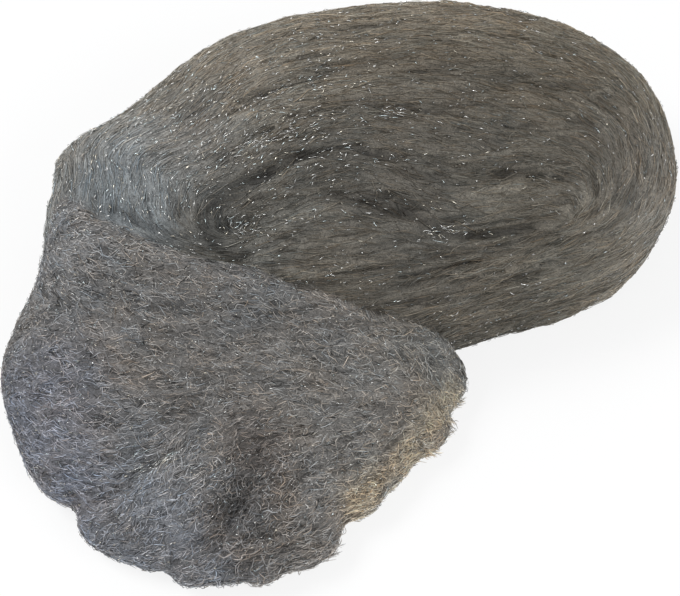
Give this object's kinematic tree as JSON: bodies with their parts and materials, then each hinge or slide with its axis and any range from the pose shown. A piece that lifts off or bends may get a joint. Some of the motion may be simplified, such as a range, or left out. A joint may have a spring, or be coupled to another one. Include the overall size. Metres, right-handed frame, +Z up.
{
  "type": "steel wool pad",
  "caption": "Steel wool pad: a ribbon of steel wool rolled into a flat oval pad, its outer end peeled off and spread as a loose flap.",
  "frame": {"origin": "under the middle of the pad's bounding box, on the surface it lies on", "axes": "+X along the long axis of the roll, +Y from the loose flap towards the back of the roll, +Z up out of the rolled face"},
  "size_m": [0.1298, 0.1074, 0.0386],
  "materials": {
    "steel_wool": "matte tangle of fine steel fibres with small glints"
  },
  "bodies": {
    "root": {"wool_ribbon": "steel_wool"}
  },
  "joints": []
}
